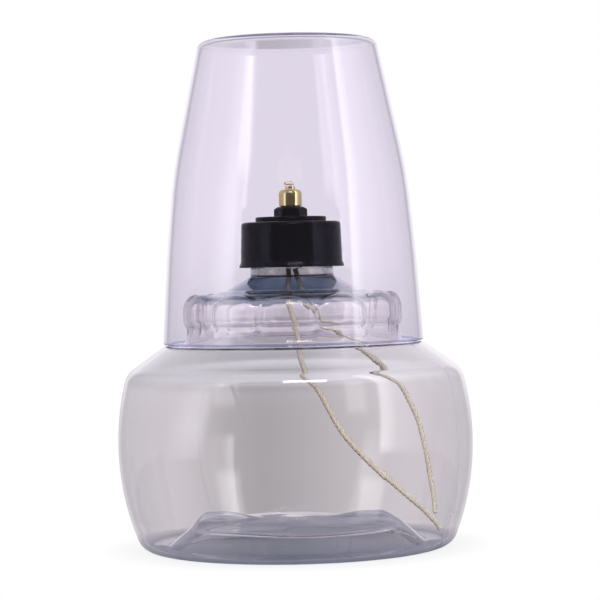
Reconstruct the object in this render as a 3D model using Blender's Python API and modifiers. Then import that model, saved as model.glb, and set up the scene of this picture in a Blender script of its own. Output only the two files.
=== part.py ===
"""Alcohol burner: a squat clear fuel bottle with a lobed collar, a black screw cap that carries
a brass wick tube and two cotton wick cords, and a tall clear cover that stands over the cap.

Metres, +Z up. The origin is the centre of the face the bottle stands on, and +Z is the axis that
every turned piece shares. The front of the burner faces -Y.
"""

import math

import bmesh
import bpy
from mathutils import Matrix, Vector

# Driving dimensions
BELLY_RADIUS = 0.0401  # the widest point of the bottle
BELLY_HEIGHT = 0.0237  # how high above the bench that is
BELLY_CURVE = 0.0582  # radius of the arc that the belly's side follows
COLLAR_RADIUS = 0.0248  # across the crowns of the lobed collar
CAP_RADIUS = 0.0115
CAP_HEIGHT = 0.0102
COVER_RIM_RADIUS = 0.02935
TOTAL_HEIGHT = 0.1144

WALL = 0.0008  # bottle wall
COVER_WALL = 0.0010
GAP = 0.00015  # left between two pieces that rest on each other
STEPS = 60  # facets round the bottle: a whole number for each lobe
COVER_STEPS = 48
SMALL_STEPS = 36  # facets round the small turned pieces
ARC_STEP = math.radians(30)  # most turn between two points of a rounded corner
CHAMFER = math.pi  # in place of ARC_STEP, it makes every corner one flat
MERGE = 0.000001  # points closer than this are one

# Heights up the bottle
FOOT_CORNER = 0.0039
SIDE_LOW_Z, SIDE_HIGH_Z = 0.0032, 0.0370  # the stretch that is a plain arc
SIDE_SPANS = 6
SHOULDER_Z = 0.03985
SHOULDER_CORNER = 0.0035
SEAT_Z = 0.0460
COLLAR_TOP_Z = 0.0579
NECK_FOOT_Z = 0.0612
FINISH_Z = 0.0634  # where the neck narrows to carry the thread
FINISH_STEP = 0.0005  # how far that narrowing slopes
NECK_RIM_Z = 0.0710
NECK_RIM_CHAMFER = 0.0003

# The push-up in the middle of the bottle's base
PUSH_UP_FOOT = 0.0285
PUSH_UP_EDGE = 0.0205
PUSH_UP_EDGE_Z = 0.0048
PUSH_UP_Z = 0.0064

# The seat that the cover's rim rests on, and the waist between the seat and the lobes
SEAT_RADIUS = 0.0287
SEAT_EDGE = (0.0003, 0.0007)  # how far the seat's outer edge slopes out, and down
WAIST_CORNER = 0.0025
WAIST_RADIUS = 0.0240
WAIST_TOP_Z = 0.0497
CROWN_FOOT_Z = 0.0509

# The collar's top, from the foot of the neck outwards: (radius, height)
COLLAR_CONE = ((0.0134, 0.0590), (0.0152, 0.0581))
COLLAR_CORNER = 0.0042

# Lobes of the collar: round-topped petals with valleys between them
LOBES = 12
VALLEY_TURN = math.radians(-90 - 17.7)  # azimuth of one valley, from +X
VALLEY_DEPTH = 0.0012
VALLEY_FOOT_Z = SEAT_Z + 0.0006  # a valley deepens from here up to the crown's foot
VALLEY_INNER = (0.0150, 0.0195)  # it deepens outwards between these radii
VALLEY_SIDE = (0.35, 1.05)  # and between these shares of the way across a petal
PETAL_TOP = math.radians(62)  # how far up the collar's section a petal reaches
LOBE_CORE = (0.0180, 0.0525)  # the section sinks towards this (radius, height)

# Neck and thread
NECK_RADIUS = 0.0094
THREAD_WALL_RADIUS = 0.0088
BORE_RADIUS = 0.0077
PITCH = 0.003175
THREAD_TURNS = 1.25
THREAD_START_Z = 0.0651
NECK_THREAD_RADIUS, NECK_THREAD_SIZE = 0.00895, 0.00072
CAP_THREAD_RADIUS, CAP_THREAD_SIZE = 0.00997, 0.00068
HELIX_POINTS = 32  # points for each turn of a thread
HELIX_FADE = 1 / 6  # the share of a turn over which a thread fades in
HELIX_TIP = 0.35  # how thick it is at its very end

# Screw cap
CAP_BASE_Z = 0.0632
CAP_TOP_Z = CAP_BASE_Z + CAP_HEIGHT
CAP_PLATE = 0.0013
CAP_BORE_RADIUS = 0.0101
CAP_FLANGE_RADIUS = CAP_RADIUS + 0.00035
CAP_TAPER = 0.00028
CAP_CORNER = 0.0007
FLANGE_EDGE, FLANGE_FLARE = 0.0004, 0.0012  # heights of its upright edge and of its flare
LEAD_IN = (0.0002, 0.0003)  # how far the bore opens at its mouth, and how deep

# Wick tube and what clamps it to the cap
SHANK_RADIUS = 0.0022
SHANK_HOLE = SHANK_RADIUS + GAP
TUBE_BORE = 0.0009
TUBE_FOOT_Z = 0.0676
HEAD_RADIUS = 0.00262
NOZZLE_RADIUS = 0.00118
NOZZLE_HEIGHT = 0.00065
HEAD_HEIGHT = 0.0038
HEAD_CORNER, HEAD_FOOT_CORNER, SHANK_CORNER = 0.0010, 0.0002, 0.0003
DISC_RADIUS, DISC_THICKNESS = 0.0080, 0.0010
NUT_FLATS, NUT_HEIGHT = 0.0066, 0.0021
NUT_FACE, NUT_CHAMFER = 0.0029, math.radians(33)
UNDER_NUT_FLATS, UNDER_NUT_FACE = 0.0070, 0.0033
SPARE = 0.001  # how far a cutter runs past what it cuts
EDGE = 0.0001  # edge of the small turned pieces
DISC_EDGE = 0.0003
WASHER_RADIUS, WASHER_THICKNESS = 0.0055, 0.0008
GASKET_THICKNESS = 0.0008
GASKET_INNER, GASKET_OUTER = 0.0071, 0.0098

# Wick cords
CORD_RADIUS = 0.0007
SQUEEZED_RADIUS = 0.0004  # inside the tube, where the two cords are pressed together
CORD_OFFSET = 0.00043
CORD_SWELL_Z = 0.0630  # below this height a cord has its full thickness
CORD_LEAD = 0.0012  # length over which it swells
CORD_SPREAD = 1.6  # how much further apart the cords are once they have swollen
TIP_HEIGHT = 0.0008  # how far the wick stands out of the nozzle
# Where each cord runs below the neck: (x, y, z)
FRONT_CORD_WAY = (
    (-0.0008, -0.0005, 0.0556),
    (0.0006, -0.0012, 0.0497),
    (0.0018, -0.0020, 0.0417),
    (0.0052, -0.0028, 0.0354),
    (0.0130, -0.0030, 0.0227),
    (0.0238, -0.0025, 0.0123),
    (0.0311, -0.0015, 0.0052),
    (0.0326, -0.0010, 0.0030),
)
REAR_CORD_WAY = (
    (0.0024, 0.0008, 0.0570),
    (0.0058, 0.0022, 0.0522),
    (0.0140, 0.0050, 0.0452),
    (0.0190, 0.0075, 0.0410),
    (0.0244, 0.0105, 0.0357),
    (0.0285, 0.0125, 0.0271),
    (0.0307, 0.0120, 0.0182),
    (0.0320, 0.0105, 0.0085),
    (0.0322, 0.0095, 0.0056),
)

# Cover
COVER_RIM_Z = SEAT_Z + 2 * GAP
COVER_TOP_RADIUS = 0.02006
COVER_TOP_CORNER = 0.0022
UPPER_KNEE = (0.02635, 0.0847, 0.120)  # radius, height and how gently it bends
LOWER_KNEE = (0.02805, 0.0670, 0.300)
COVER_ARC_STEP = math.radians(20)


# Outlines: lists of (radius, height)


def arc(centre, radius, start, end, step=ARC_STEP):
    """Points on a circle from one angle to another, in radians, both ends included."""
    count = max(1, math.ceil(abs(end - start) / step))
    turns = [start + (end - start) * i / count for i in range(count + 1)]
    return [(centre[0] + radius * math.cos(t), centre[1] + radius * math.sin(t)) for t in turns]


def rounded(corners, step=ARC_STEP):
    """An outline through (radius, height, corner radius), with each corner turned into an arc."""
    points = []
    for i, (r, z, size) in enumerate(corners):
        here = Vector((r, z))
        if size == 0 or i in (0, len(corners) - 1):
            points.append((r, z))
            continue
        before = (Vector(corners[i - 1][:2]) - here).normalized()
        after = (Vector(corners[i + 1][:2]) - here).normalized()
        half = before.angle(after) / 2
        centre = here + (before + after).normalized() * size / math.sin(half)
        start = here + before * size / math.tan(half) - centre
        end = here + after * size / math.tan(half) - centre
        turn = start.angle_signed(end)  # clockwise is positive
        first = math.atan2(start.y, start.x)
        points += arc(centre, size, first, first - turn, step)
    return points


def moved_in(corners, distance):
    """The corners moved to the right of the way the outline runs, so that a wall stays even."""
    moved = []
    for i, (r, z, size) in enumerate(corners):
        here = Vector((r, z))
        came = here - Vector(corners[i - 1][:2]) if i else None
        goes = Vector(corners[i + 1][:2]) - here if i + 1 < len(corners) else None
        before = (came or goes).normalized()
        after = (goes or came).normalized()
        side = Vector((before.y + after.y, -before.x - after.x))
        place = here + side * distance / (1 + before.dot(after))
        bend = before.cross(after)  # a left-hand bend grows, and a right-hand one shrinks
        new_size = max(size + math.copysign(distance, bend), 0.0003) if size else 0
        moved.append((place.x, place.y, new_size))
    return moved


# Blender helpers


def clear_scene():
    for obj in list(bpy.data.objects):
        bpy.data.objects.remove(obj, do_unlink=True)


def new_collection(name):
    collection = bpy.data.collections.new(name)
    bpy.context.scene.collection.children.link(collection)
    return collection


def new_material(name, colour, roughness, metallic=0.0, clear=0.0):
    """A Principled material. clear is the share of light that passes through it."""
    material = bpy.data.materials.new(name)
    material.use_nodes = True
    shader = material.node_tree.nodes["Principled BSDF"]
    shader.inputs["Base Color"].default_value = (*colour, 1.0)
    shader.inputs["Roughness"].default_value = roughness
    shader.inputs["Metallic"].default_value = metallic
    shader.inputs["Transmission Weight"].default_value = clear
    material.diffuse_color = (*colour, 1.0 - 0.7 * clear)
    return material


def turned(name, outline, steps, closed=False):
    """A piece turned round the Z axis. The outline runs down the piece's outer side."""
    mesh = bpy.data.meshes.new(name)
    points = [(r, 0.0, z) for r, z in outline]
    edges = [(i, i + 1) for i in range(len(points) - 1)]
    if closed:
        edges.append((len(points) - 1, 0))
    mesh.from_pydata(points, edges, [])
    obj = bpy.data.objects.new(name, mesh)
    screw = obj.modifiers.new("Turn", "SCREW")
    screw.axis = "Z"
    screw.steps = screw.render_steps = steps
    screw.use_merge_vertices = True
    screw.merge_threshold = MERGE
    screw.use_smooth_shade = True
    return obj


def tube_along(name, points, thickness, sides=2):
    """A round cord through points, whose thickness is one radius for each of them."""
    curve = bpy.data.curves.new(name, "CURVE")
    curve.dimensions = "3D"
    curve.bevel_depth = 1.0
    curve.bevel_resolution = sides
    curve.use_fill_caps = True
    spline = curve.splines.new("POLY")
    spline.points.add(len(points) - 1)
    for point, place, radius in zip(spline.points, points, thickness):
        point.co = (*place, 1.0)
        point.radius = radius
    return bpy.data.objects.new(name, curve)


def made_mesh(obj, collection):
    """The object as a plain mesh in its collection, in place of the object it came from."""
    collection.objects.link(obj)
    bpy.context.view_layer.update()
    graph = bpy.context.evaluated_depsgraph_get()
    mesh = bpy.data.meshes.new_from_object(obj.evaluated_get(graph))
    name, place = obj.name, obj.matrix_world.copy()
    bpy.data.objects.remove(obj, do_unlink=True)
    edit = bmesh.new()
    edit.from_mesh(mesh)
    bmesh.ops.remove_doubles(edit, verts=edit.verts, dist=MERGE)
    bmesh.ops.recalc_face_normals(edit, faces=edit.faces)
    edit.to_mesh(mesh)
    edit.free()
    made = bpy.data.objects.new(name, mesh)
    made.matrix_world = place
    collection.objects.link(made)
    return made


def combine(obj, helper, operation):
    """A Boolean modifier with a helper piece that stays out of the model."""
    helper.hide_render = True
    helper.display_type = "WIRE"
    boolean = obj.modifiers.new(helper.name, "BOOLEAN")
    boolean.operation = operation
    boolean.object = helper


def finish(obj, material, collection, crease=math.radians(35)):
    """Links a piece, gives it its material, and shades it smooth up to the crease angle."""
    if obj.name not in collection.objects:
        collection.objects.link(obj)
    obj.data.materials.clear()
    obj.data.materials.append(material)
    if obj.type == "MESH" and obj.data.polygons:
        obj.data.shade_smooth()
        obj.data.set_sharp_from_angle(angle=crease)


# Shapes


def thread_helix(name, radius, size, start_z):
    """A rounded right-hand thread ridge that fades into the wall at both ends."""
    count = round(HELIX_POINTS * THREAD_TURNS)
    fade = HELIX_POINTS * HELIX_FADE
    points, thickness = [], []
    for i in range(count + 1):
        turn = 2 * math.pi * i / HELIX_POINTS
        height = start_z + PITCH * i / HELIX_POINTS
        points.append((radius * math.cos(turn), radius * math.sin(turn), height))
        end_share = min(1.0, HELIX_TIP + min(i, count - i) / fade)
        thickness.append(size * end_share)
    return tube_along(name, points, thickness)


def smooth_step(value, low, high):
    share = min(1.0, max(0.0, (value - low) / (high - low)))
    return share * share * (3 - 2 * share)


def press_lobes(mesh):
    """Sinks the collar's wall round its petals, inside and outside alike."""
    core = Vector(LOBE_CORE)
    for vertex in mesh.vertices:
        radius = math.hypot(vertex.co.x, vertex.co.y)
        here = Vector((radius, vertex.co.z))
        out = here - core
        share = smooth_step(vertex.co.z, VALLEY_FOOT_Z, CROWN_FOOT_Z)
        share *= smooth_step(radius, *VALLEY_INNER)
        if share == 0:
            continue
        azimuth = math.atan2(vertex.co.y, vertex.co.x)
        across = 1 - abs(math.asin(math.sin(LOBES * (azimuth - VALLEY_TURN) / 2))) / (math.pi / 2)
        up = max(0.0, math.atan2(out.y, out.x)) / PETAL_TOP
        sink = smooth_step(across**2 + up**2, *VALLEY_SIDE)
        sunk = here - out.normalized() * VALLEY_DEPTH * sink * share
        vertex.co = (vertex.co.x * sunk.x / radius, vertex.co.y * sunk.x / radius, sunk.y)


def belly(z):
    """The outer radius of the bottle's side at a height."""
    return BELLY_RADIUS - BELLY_CURVE + math.sqrt(BELLY_CURVE**2 - (z - BELLY_HEIGHT) ** 2)


def bottle_corners():
    """The bottle's outside from the foot of the neck down to the middle of its base."""
    span = (SIDE_LOW_Z - SIDE_HIGH_Z) / SIDE_SPANS
    side_heights = [SIDE_HIGH_Z + span * i for i in range(SIDE_SPANS + 1)]
    return [
        (NECK_RADIUS, FINISH_Z - FINISH_STEP, 0),
        (NECK_RADIUS, NECK_FOOT_Z, 0),
        *[(r, z, 0) for r, z in COLLAR_CONE],
        (COLLAR_RADIUS, COLLAR_TOP_Z, COLLAR_CORNER),
        (COLLAR_RADIUS, CROWN_FOOT_Z, 0),
        (WAIST_RADIUS, WAIST_TOP_Z, 0),
        (WAIST_RADIUS, SEAT_Z, WAIST_CORNER),
        (SEAT_RADIUS, SEAT_Z, 0),
        (SEAT_RADIUS + SEAT_EDGE[0], SEAT_Z - SEAT_EDGE[1], 0),
        (belly(SHOULDER_Z), SHOULDER_Z, SHOULDER_CORNER),
        *[(belly(z), z, 0) for z in side_heights],
        (belly(0), 0.0, FOOT_CORNER),
        (PUSH_UP_FOOT, 0.0, 0),
        (PUSH_UP_EDGE, PUSH_UP_EDGE_Z, 0),
        (0.0, PUSH_UP_Z, 0),
    ]


def bottle_profile():
    """Up the bottle's inside, over the neck's rim and down its outside."""
    corners = bottle_corners()
    inner = moved_in(corners[1:], WALL)
    inner[0] = (BORE_RADIUS, NECK_FOOT_Z - WALL, 0)
    inner[-1] = (0.0, PUSH_UP_Z + WALL, 0)
    neck = [
        (BORE_RADIUS, NECK_RIM_Z, 0),
        (THREAD_WALL_RADIUS - NECK_RIM_CHAMFER, NECK_RIM_Z, 0),
        (THREAD_WALL_RADIUS, NECK_RIM_Z - NECK_RIM_CHAMFER, 0),
        (THREAD_WALL_RADIUS, FINISH_Z, 0),
    ]
    return rounded(inner[::-1] + neck + corners)


def make_bottle(material, parts, helpers):
    bottle = made_mesh(turned("fuel_bottle", bottle_profile(), STEPS), parts)
    bottle.data.transform(Matrix.Rotation(VALLEY_TURN, 4, "Z"))
    press_lobes(bottle.data)
    ridge = thread_helix("neck_thread", NECK_THREAD_RADIUS, NECK_THREAD_SIZE, THREAD_START_Z)
    combine(bottle, made_mesh(ridge, helpers), "UNION")
    finish(bottle, material, parts)


def make_cap(material, parts, helpers):
    """The screw cap: a plate with a hole, and a skirt with a flange and an inner thread."""
    profile = rounded([
        (SHANK_HOLE, CAP_TOP_Z, 0),
        (CAP_RADIUS - CAP_TAPER, CAP_TOP_Z, CAP_CORNER),
        (CAP_RADIUS, CAP_BASE_Z + FLANGE_FLARE, 0),
        (CAP_FLANGE_RADIUS, CAP_BASE_Z + FLANGE_EDGE, 0),
        (CAP_FLANGE_RADIUS, CAP_BASE_Z, 0),
        (CAP_BORE_RADIUS + LEAD_IN[0], CAP_BASE_Z, 0),
        (CAP_BORE_RADIUS, CAP_BASE_Z + LEAD_IN[1], 0),
        (CAP_BORE_RADIUS, CAP_TOP_Z - CAP_PLATE, 0),
        (SHANK_HOLE, CAP_TOP_Z - CAP_PLATE, 0),
    ])
    cap = made_mesh(turned("screw_cap", profile, SMALL_STEPS, closed=True), parts)
    ridge = thread_helix(
        "cap_thread", CAP_THREAD_RADIUS, CAP_THREAD_SIZE, THREAD_START_Z + PITCH / 2
    )
    combine(cap, made_mesh(ridge, helpers), "UNION")
    finish(cap, material, parts)


def make_ring(name, inner, outer, low, high, edge, material, parts):
    """A flat ring or washer with chamfered outer edges."""
    profile = rounded([
        (inner, high, 0),
        (outer, high, edge),
        (outer, low, edge),
        (inner, low, 0),
    ], CHAMFER)
    finish(turned(name, profile, SMALL_STEPS, closed=True), material, parts)


def make_nut(name, flats, low, high, chamfer_side, face_radius, material, parts, helpers):
    """A hex nut, bored for the tube's shank and chamfered on one face: 1 is up, -1 is down."""
    corners = flats / math.cos(math.pi / 6)
    edit = bmesh.new()
    bmesh.ops.create_cone(
        edit,
        cap_ends=True,
        segments=6,
        radius1=corners / 2,
        radius2=corners / 2,
        depth=high - low,
        matrix=Matrix.Translation((0, 0, (low + high) / 2)) @ Matrix.Rotation(math.pi / 6, 4, "Z"),
    )
    mesh = bpy.data.meshes.new(name)
    edit.to_mesh(mesh)
    edit.free()
    nut = bpy.data.objects.new(name, mesh)
    parts.objects.link(nut)
    # The chamfer is a turned blank that the hexagon is cut down to.
    face, back = (high, low) if chamfer_side > 0 else (low, high)
    blank_radius = corners / 2 + SPARE
    chamfer_end = face - chamfer_side * (blank_radius - face_radius) * math.tan(NUT_CHAMFER)
    blank_outline = [
        (0.0, face),
        (face_radius, face),
        (blank_radius, chamfer_end),
        (blank_radius, back - chamfer_side * SPARE),
        (0.0, back - chamfer_side * SPARE),
    ]
    if chamfer_side < 0:
        blank_outline.reverse()
    blank = made_mesh(turned(name + "_blank", blank_outline, SMALL_STEPS), helpers)
    combine(nut, blank, "INTERSECT")
    drill_outline = [
        (0.0, high + SPARE),
        (SHANK_HOLE, high + SPARE),
        (SHANK_HOLE, low - SPARE),
        (0.0, low - SPARE),
    ]
    drill = made_mesh(turned(name + "_drill", drill_outline, SMALL_STEPS), helpers)
    combine(nut, drill, "DIFFERENCE")
    finish(nut, material, parts)


def make_tube(head_z, material, parts):
    """The brass wick tube: nozzle, head and the shank that passes through the cap."""
    top = head_z + HEAD_HEIGHT
    profile = rounded([
        (TUBE_BORE, top + NOZZLE_HEIGHT, 0),
        (NOZZLE_RADIUS, top + NOZZLE_HEIGHT, EDGE),
        (NOZZLE_RADIUS, top, 0),
        (HEAD_RADIUS, top, HEAD_CORNER),
        (HEAD_RADIUS, head_z, HEAD_FOOT_CORNER),
        (SHANK_RADIUS, head_z, 0),
        (SHANK_RADIUS, TUBE_FOOT_Z, SHANK_CORNER),
        (TUBE_BORE, TUBE_FOOT_Z, 0),
    ])
    finish(turned("wick_tube", profile, SMALL_STEPS, closed=True), material, parts)
    return top + NOZZLE_HEIGHT


def through(points, per_span=4):
    """A smooth line through points, a Catmull-Rom curve."""
    padded = [points[0], *points, points[-1]]
    line = []
    for a, b, c, d in zip(padded, padded[1:], padded[2:], padded[3:]):
        a, b, c, d = Vector(a), Vector(b), Vector(c), Vector(d)
        for i in range(per_span):
            t = i / per_span
            line.append((
                (2 * b)
                + (c - a) * t
                + (2 * a - 5 * b + 4 * c - d) * t**2
                + (3 * b - a - 3 * c + d) * t**3
            ) / 2)
    return [*line, Vector(points[-1])]


def make_cord(name, side, way, tip_z, material, parts):
    """A wick cord: straight and squeezed in the tube, then loose down to the bottle's floor."""
    x = side * CORD_OFFSET
    straight = [(x, 0, tip_z), (x, 0, TUBE_FOOT_Z), (x, 0, CORD_SWELL_Z + CORD_LEAD)]
    loose = through([(x * CORD_SPREAD, 0, CORD_SWELL_Z), *way])
    thickness = [SQUEEZED_RADIUS] * len(straight) + [CORD_RADIUS] * len(loose)
    cord = made_mesh(tube_along(name, straight + loose, thickness), parts)
    finish(cord, material, parts)


def make_cover(material, parts):
    """The clear cover: a tapered cup upside down over the cap, its rim on the bottle's seat."""
    outer = [
        (0.0, TOTAL_HEIGHT, 0),
        (COVER_TOP_RADIUS, TOTAL_HEIGHT, COVER_TOP_CORNER),
        UPPER_KNEE,
        LOWER_KNEE,
        (COVER_RIM_RADIUS, COVER_RIM_Z, 0),
    ]
    inner = moved_in(outer, COVER_WALL)
    inner[0] = (0.0, TOTAL_HEIGHT - COVER_WALL, 0)
    inner[-1] = (COVER_RIM_RADIUS - COVER_WALL, COVER_RIM_Z, 0)
    profile = rounded(outer, COVER_ARC_STEP) + rounded(inner, COVER_ARC_STEP)[::-1]
    finish(turned("snuffer_cover", profile, COVER_STEPS), material, parts)


def build():
    clear_scene()
    parts = new_collection("alcohol_burner")
    helpers = new_collection("helpers")
    clear = new_material("clear_bottle_plastic", (0.86, 0.85, 0.88), 0.05, clear=0.95)
    tinted = new_material("clear_cover_plastic", (0.87, 0.85, 0.93), 0.05, clear=0.95)
    black = new_material("black_plastic", (0.015, 0.015, 0.018), 0.38)
    rubber = new_material("black_rubber", (0.02, 0.02, 0.022), 0.7)
    brass = new_material("brass", (0.83, 0.62, 0.27), 0.22, metallic=1.0)
    cotton = new_material("cotton", (0.80, 0.74, 0.60), 0.95)

    disc_z = CAP_TOP_Z + GAP
    nut_z = disc_z + DISC_THICKNESS + GAP
    head_z = nut_z + NUT_HEIGHT + GAP
    washer_z = CAP_TOP_Z - CAP_PLATE - GAP
    under_nut_z = washer_z - WASHER_THICKNESS - GAP
    gasket_z = NECK_RIM_Z + GAP / 2

    make_bottle(clear, parts, helpers)
    make_cap(black, parts, helpers)
    disc_top = disc_z + DISC_THICKNESS
    make_ring("clamp_disc", SHANK_HOLE, DISC_RADIUS, disc_z, disc_top, DISC_EDGE, black, parts)
    nut_top = nut_z + NUT_HEIGHT
    make_nut("top_nut", NUT_FLATS, nut_z, nut_top, 1, NUT_FACE, black, parts, helpers)
    tip_z = make_tube(head_z, brass, parts) + TIP_HEIGHT
    washer_foot = washer_z - WASHER_THICKNESS
    make_ring("under_washer", SHANK_HOLE, WASHER_RADIUS, washer_foot, washer_z, EDGE, brass, parts)
    nut_foot = under_nut_z - NUT_HEIGHT
    make_nut(
        "under_nut", UNDER_NUT_FLATS, nut_foot, under_nut_z, -1, UNDER_NUT_FACE, brass, parts, helpers
    )
    gasket_top = gasket_z + GASKET_THICKNESS
    make_ring("rim_gasket", GASKET_INNER, GASKET_OUTER, gasket_z, gasket_top, EDGE, rubber, parts)
    make_cord("wick_cord_front", -1, FRONT_CORD_WAY, tip_z, cotton, parts)
    make_cord("wick_cord_rear", 1, REAR_CORD_WAY, tip_z, cotton, parts)
    make_cover(tinted, parts)


build()
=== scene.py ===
"""Alcohol burner, dressed for a studio picture.

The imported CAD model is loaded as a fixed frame. The clear bottle and cover, the cap and its
fittings and the wick are rebuilt here at full smoothness, each on the body of the CAD node that
it stands for. Lengths called mm are millimetres of the real burner, and MM turns them into the
frame's metres.
"""

import math
import random

import bpy
from mathutils import Matrix, Vector, noise


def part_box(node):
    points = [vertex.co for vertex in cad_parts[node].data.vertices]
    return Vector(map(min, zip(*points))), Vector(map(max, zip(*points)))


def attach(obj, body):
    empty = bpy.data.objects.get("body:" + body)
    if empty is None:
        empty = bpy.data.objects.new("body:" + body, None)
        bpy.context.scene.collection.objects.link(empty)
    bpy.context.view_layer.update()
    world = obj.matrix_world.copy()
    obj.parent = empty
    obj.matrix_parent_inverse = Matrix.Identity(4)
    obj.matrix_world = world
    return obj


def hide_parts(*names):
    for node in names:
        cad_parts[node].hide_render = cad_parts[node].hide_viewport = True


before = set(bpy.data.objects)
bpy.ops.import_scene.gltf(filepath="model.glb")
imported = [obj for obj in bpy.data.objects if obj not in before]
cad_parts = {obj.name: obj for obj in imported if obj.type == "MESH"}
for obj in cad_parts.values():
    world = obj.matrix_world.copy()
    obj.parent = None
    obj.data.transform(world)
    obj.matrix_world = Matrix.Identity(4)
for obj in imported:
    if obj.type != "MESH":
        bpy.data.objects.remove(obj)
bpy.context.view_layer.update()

# Driving dimensions, from the frame

BOTTLE_LOW, BOTTLE_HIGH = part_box("fuel_bottle")
CAP_LOW, CAP_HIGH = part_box("screw_cap")
DISC_LOW, DISC_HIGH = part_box("clamp_disc")
NUT_LOW, NUT_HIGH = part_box("top_nut")
TUBE_LOW, TUBE_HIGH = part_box("wick_tube")
COVER_LOW, COVER_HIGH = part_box("snuffer_cover")
CORD_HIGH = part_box("wick_cord_front")[1]

BOTTLE_HEIGHT_MM = 71.0
MM = (BOTTLE_HIGH[2] - BOTTLE_LOW[2]) / BOTTLE_HEIGHT_MM  # the frame's metres in a millimetre
DEGREE = math.pi / 180


def up_mm(height):
    """A height in the frame, in metres, as millimetres above the bench."""
    return height / MM


# Bottle, in mm
BELLY_RADIUS, BELLY_HEIGHT, BELLY_CURVE = 40.05, 23.7, 58.2
SIDE_LOW, SIDE_HIGH, SIDE_SPANS = 3.2, 37.0, 24  # the part of the side that is a plain arc
COLLAR_RADIUS, COLLAR_TOP, COLLAR_CORNER = 24.8, 57.9, 4.2
CONE_RADIUS, CONE_HEIGHT = 13.4, 59.0  # where the slope between neck and collar flattens
CONE_FOOT_RADIUS, CONE_FOOT_RISE = 15.2, 0.2
SEAT_RADIUS, SEAT_HEIGHT, SEAT_CORNER = 29.0, 46.0, 1.0
WAIST_RADIUS, WAIST_TOP, CROWN_FOOT = 24.0, 49.7, 50.9
SHOULDER_HEIGHT, SHOULDER_CORNER = 39.85, 5.0
FOOT_CORNER = 3.9
NECK_RADIUS, NECK_FOOT = 9.4, 61.2
FINISH_HEIGHT, FINISH_SLOPE = 63.4, 0.5  # where the neck narrows to carry the thread
THREAD_WALL_RADIUS, BORE_RADIUS = 8.8, 7.7
NECK_OUTSIDE = BORE_RADIUS + 0.5  # what is further out than this is the outside of the neck
BOTTLE_WALL = 0.8
BOTTLE_SPAN = 1.2  # the longest step along the bottle's outline

# The push-up in the base. Its edge has lumps, each an (azimuth, height), and low waves, each a
# (number round the bottle, height, start)
PUSH_UP_FOOT, PUSH_UP_EDGE, PUSH_UP_EDGE_HEIGHT, PUSH_UP_CENTRE = 29.0, 23.0, 4.4, 5.7
PUSH_UP_TOP = 9.0
LUMPS, LUMP_SPREAD = ((155 * DEGREE, 1.7), (33 * DEGREE, 1.1)), 0.2
EDGE_WAVES = ((3, 0.25, 1.0), (5, 0.15, 0.0))

# The petals of the collar, and the mould seams
LOBES = 12
VALLEY_AZIMUTH = (-90 - 17.7) * DEGREE
VALLEY_DEPTH = 1.0
PETAL_TOP = 62 * DEGREE
LOBE_CORE = Vector((18.0, 52.5))
SEAM_AZIMUTHS = (-27.5 * DEGREE, 152.5 * DEGREE)
SEAM_HEIGHTS, SEAM_WIDTH = (0.03, 0.004), 0.30
SEAM_STEP, SEAM_STEPS = 0.0035, 5  # radians between the extra columns of points at a seam

# Screw threads, in mm
PITCH = 3.175
THREAD_TURNS = 1.25
THREAD_START = 65.1
THREAD_RING_STEP = 0.12
NECK_THREAD_CREST, NECK_THREAD_WIDTH = 0.87, 0.62
CAP_THREAD_CREST, CAP_THREAD_WIDTH = 0.81, 0.60

# Cover, in mm. Its side has two slow bends, each a (radius, height, bend radius)
COVER_WALL, COVER_RIM_CORNER = 1.0, 0.25
COVER_TOP_RADIUS, COVER_TOP_CORNER = 20.06, 2.2
COVER_BENDS = ((26.35, 84.7, 120.0), (28.05, 67.0, 300.0))
COVER_ARC_STEP, COVER_SPAN = 0.8 * DEGREE, 1.5

# Cap and fittings, in mm
CAP_PLATE, CAP_BORE, CAP_SPAN = 1.3, 10.1, 0.5
TUBE_HOLE = 2.35  # through the cap, the disc and the nut


# Outlines: lists of (radius, height) in mm


def rounded(corners, step=6 * DEGREE):
    """An outline through (radius, height, corner radius), with each corner turned into an arc."""
    points = []
    for i, (r, z, size) in enumerate(corners):
        here = Vector((r, z))
        if size == 0 or i in (0, len(corners) - 1):
            points.append((r, z))
            continue
        before = (Vector(corners[i - 1][:2]) - here).normalized()
        after = (Vector(corners[i + 1][:2]) - here).normalized()
        half = before.angle(after) / 2
        centre = here + (before + after).normalized() * size / math.sin(half)
        start = here + before * size / math.tan(half) - centre
        end = here + after * size / math.tan(half) - centre
        turn = start.angle_signed(end)  # clockwise is positive
        first = math.atan2(start.y, start.x)
        count = max(2, math.ceil(abs(turn) / step))
        for j in range(count + 1):
            angle = first - turn * j / count
            points.append((centre.x + size * math.cos(angle), centre.y + size * math.sin(angle)))
    return points


def moved_in(corners, distance):
    """The corners moved to the right of the way the outline runs, so that a wall stays even."""
    moved = []
    for i, (r, z, size) in enumerate(corners):
        here = Vector((r, z))
        came = here - Vector(corners[i - 1][:2]) if i else None
        goes = Vector(corners[i + 1][:2]) - here if i + 1 < len(corners) else None
        before = (came or goes).normalized()
        after = (goes or came).normalized()
        side = Vector((before.y + after.y, -before.x - after.x))
        place = here + side * distance / (1 + before.dot(after))
        bend = before.cross(after)  # a left-hand bend grows, and a right-hand one shrinks
        new_size = max(size + math.copysign(distance, bend), 0.25) if size else 0
        moved.append((place.x, place.y, new_size))
    return moved


def points_between(a, b, count):
    """This many even points on the way from a to b. The last one is b, and a is left out."""
    return [
        (a[0] + (b[0] - a[0]) * i / count, a[1] + (b[1] - a[1]) * i / count)
        for i in range(1, count + 1)
    ]


def spread(outline, longest):
    """The outline with points added so that no span is longer than this."""
    points = [outline[0]]
    for a, b in zip(outline, outline[1:]):
        count = max(1, math.ceil((Vector(b) - Vector(a)).length / longest))
        points += points_between(a, b, count)
    return points


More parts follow.
